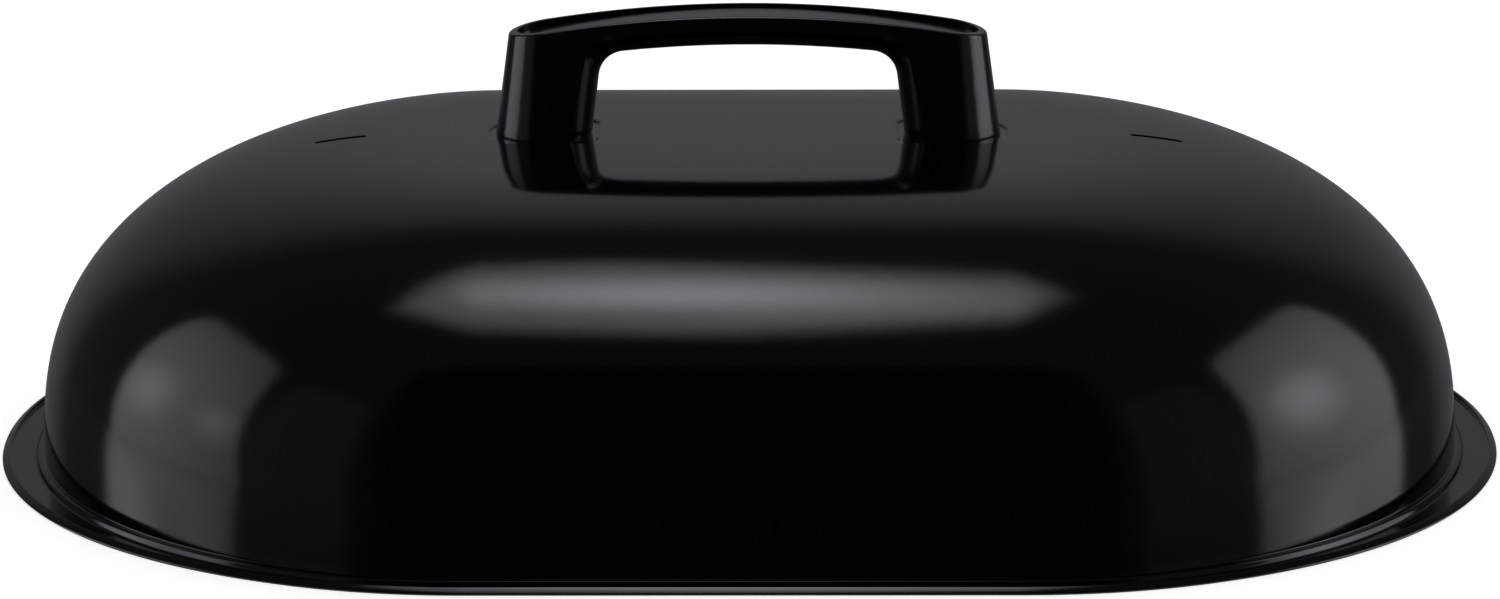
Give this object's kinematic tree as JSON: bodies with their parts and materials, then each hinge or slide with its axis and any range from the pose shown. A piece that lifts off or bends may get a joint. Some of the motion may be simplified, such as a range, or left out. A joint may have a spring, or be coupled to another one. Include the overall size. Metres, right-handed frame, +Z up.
{
  "type": "domed roaster oven lid",
  "caption": "Oblong domed lid with a rolled rim, a stepped flange, narrow steam slots and a moulded arched handle on top.",
  "frame": {"origin": "middle of the rim's underside, on the surface that the lid stands on", "axes": "+X along the long axis and the handle, -Y towards the front as pictured, +Z up through the handle"},
  "size_m": [0.53, 0.388, 0.1565],
  "materials": {
    "black_enamel": "gloss",
    "black_phenolic": "satin",
    "insert_brass": "satin",
    "plated_steel": "satin"
  },
  "bodies": {
    "root": {"cover_shell": "black_enamel", "handle": "black_phenolic", "insert_left": "insert_brass", "insert_right": "insert_brass", "screw_left": "plated_steel", "screw_right": "plated_steel", "washer_left": "plated_steel", "washer_right": "plated_steel"}
  },
  "joints": []
}
